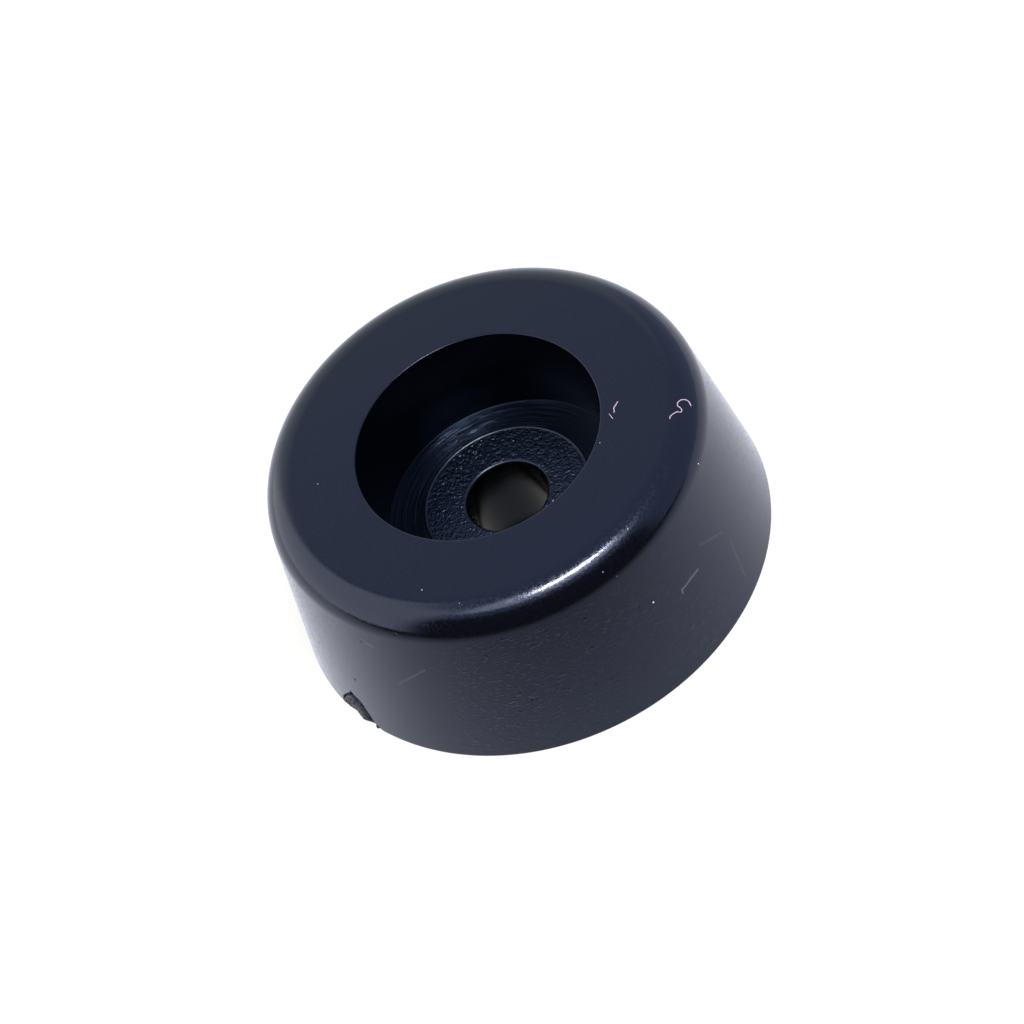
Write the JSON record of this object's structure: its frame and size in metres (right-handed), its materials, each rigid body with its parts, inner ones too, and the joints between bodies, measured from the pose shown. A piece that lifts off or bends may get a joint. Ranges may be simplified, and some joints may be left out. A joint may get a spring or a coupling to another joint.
{
  "type": "plastic foot",
  "caption": "Round tapered plastic foot with a rounded end, a counterbore that hides a screw head, a raised seat and a straight screw hole.",
  "frame": {"origin": "centre of the wide flat face that goes against the case", "axes": "+Z along the screw hole, from the wide face towards the rounded end; the screw goes in from +Z. The torn gate patch is on the rim, 202 degrees round from +X towards +Y"},
  "size_m": [0.03, 0.03, 0.012],
  "materials": {
    "moulded_plastic": "moulded black plastic with a faint blue cast, satin gloss, fine handling scratches; spark-eroded texture on the screw seat"
  },
  "bodies": {
    "root": {"foot": "moulded_plastic"}
  },
  "joints": []
}
